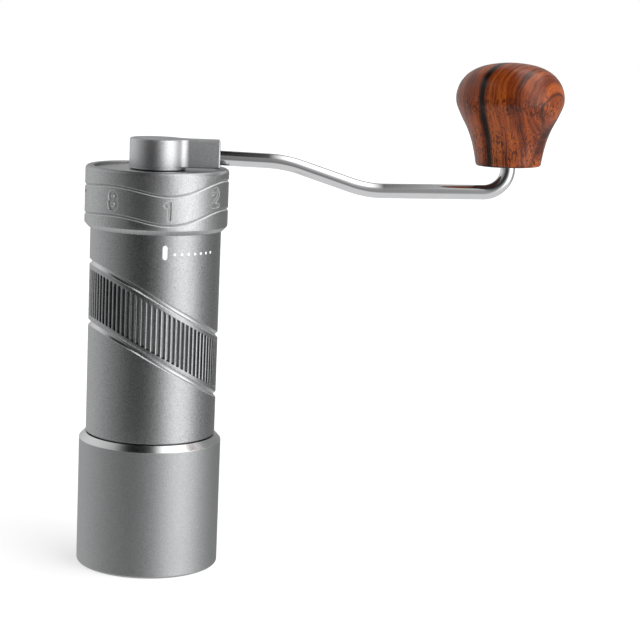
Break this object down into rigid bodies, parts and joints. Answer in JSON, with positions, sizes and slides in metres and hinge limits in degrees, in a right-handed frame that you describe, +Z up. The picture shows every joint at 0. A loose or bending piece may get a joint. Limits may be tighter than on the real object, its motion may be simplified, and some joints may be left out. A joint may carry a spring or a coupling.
{
  "type": "hand crank coffee grinder",
  "caption": "Tall cylindrical hand coffee grinder with a catch cup, a ribbed body, a numbered adjustment dial and a bent crank arm with a rounded wooden knob.",
  "frame": {"origin": "centre of the catch cup's flat underside, where the grinder stands", "axes": "+Z up along the grinder's axis, +X along the crank arm towards the knob, +Y to the back"},
  "size_m": [0.1938, 0.0584, 0.2118],
  "materials": {
    "aluminium": "bead-blasted, titanium grey anodised",
    "bright_aluminium": "fine turned, semi-polished",
    "stainless": "polished",
    "burr_steel": "ground",
    "spring_steel": "satin",
    "brass": "turned",
    "silicone": "matte",
    "rosewood": "polished, lacquered"
  },
  "bodies": {
    "cup": {"catch_cup": "aluminium"},
    "housing": {"outer_body": "aluminium", "cup_seal": "silicone", "outer_burr": "burr_steel", "burr_retaining_ring": "stainless", "guide_pin": "stainless", "dial_ring_clip": "spring_steel", "detent_ball": "stainless", "detent_spring": "spring_steel", "preload_spring": "spring_steel"},
    "dial": {"adjustment_dial": "aluminium"},
    "carriage": {"hopper_tube": "bright_aluminium", "lower_bracket": "stainless", "upper_bracket": "stainless", "lower_outer_race": "stainless", "upper_outer_race": "stainless"},
    "lower_cage": {"lower_ball_cage": "brass"},
    "upper_cage": {"upper_ball_cage": "brass"},
    "drive": {"drive_shaft": "stainless", "lower_inner_race": "stainless", "upper_inner_race": "stainless", "inner_burr": "burr_steel", "burr_spacer": "stainless", "burr_washer": "stainless", "burr_nut": "stainless", "shaft_clip": "spring_steel"},
    "crank": {"crank_hub": "bright_aluminium", "crank_rod": "stainless", "rod_set_screw": "spring_steel", "lid_clip": "spring_steel", "knob_clip": "spring_steel"},
    "lid": {"lid_disc": "bright_aluminium", "lid_gasket": "silicone"},
    "knob": {"knob_grip": "rosewood", "knob_bushing": "brass"}
  },
  "joints": [
    {"name": "cup_release", "type": "slide", "parent": "cup", "child": "housing", "axis": [0, 0, 1], "range_m": [0, 0.06]},
    {"name": "dial_turn", "type": "hinge", "parent": "housing", "child": "dial", "pos_m": [0, 0, 0.152], "axis": [0, 0, 1], "range_deg": [0, 540]},
    {"name": "burr_gap", "type": "slide", "parent": "housing", "child": "carriage", "axis": [0, 0, 1], "range_m": [0, 0.00151], "deforming": ["preload_spring"]},
    {"name": "crank_spin", "type": "hinge", "parent": "carriage", "child": "drive", "pos_m": [0, 0, 0.11], "axis": [0, 0, 1], "continuous": true},
    {"name": "lower_cage_roll", "type": "hinge", "parent": "carriage", "child": "lower_cage", "pos_m": [0, 0, 0.074], "axis": [0, 0, 1], "continuous": true},
    {"name": "upper_cage_roll", "type": "hinge", "parent": "carriage", "child": "upper_cage", "pos_m": [0, 0, 0.1491], "axis": [0, 0, 1], "continuous": true},
    {"name": "crank_lift", "type": "slide", "parent": "drive", "child": "crank", "axis": [0, 0, 1], "range_m": [0, 0.045]},
    {"name": "lid_swivel", "type": "hinge", "parent": "crank", "child": "lid", "pos_m": [0, 0, 0.1626], "axis": [0, 0, 1], "continuous": true},
    {"name": "knob_spin", "type": "hinge", "parent": "crank", "child": "knob", "pos_m": [0.1433, 0, 0.1699], "axis": [-0.026, 0, 0.9997], "continuous": true}
  ],
  "couplings": [
    {"joint": "burr_gap", "follows": "dial_turn", "m_per_rad": 0.00015915},
    {"joint": "lower_cage_roll", "follows": "crank_spin", "ratio": 0.4417},
    {"joint": "upper_cage_roll", "follows": "crank_spin", "ratio": 0.4417}
  ]
}
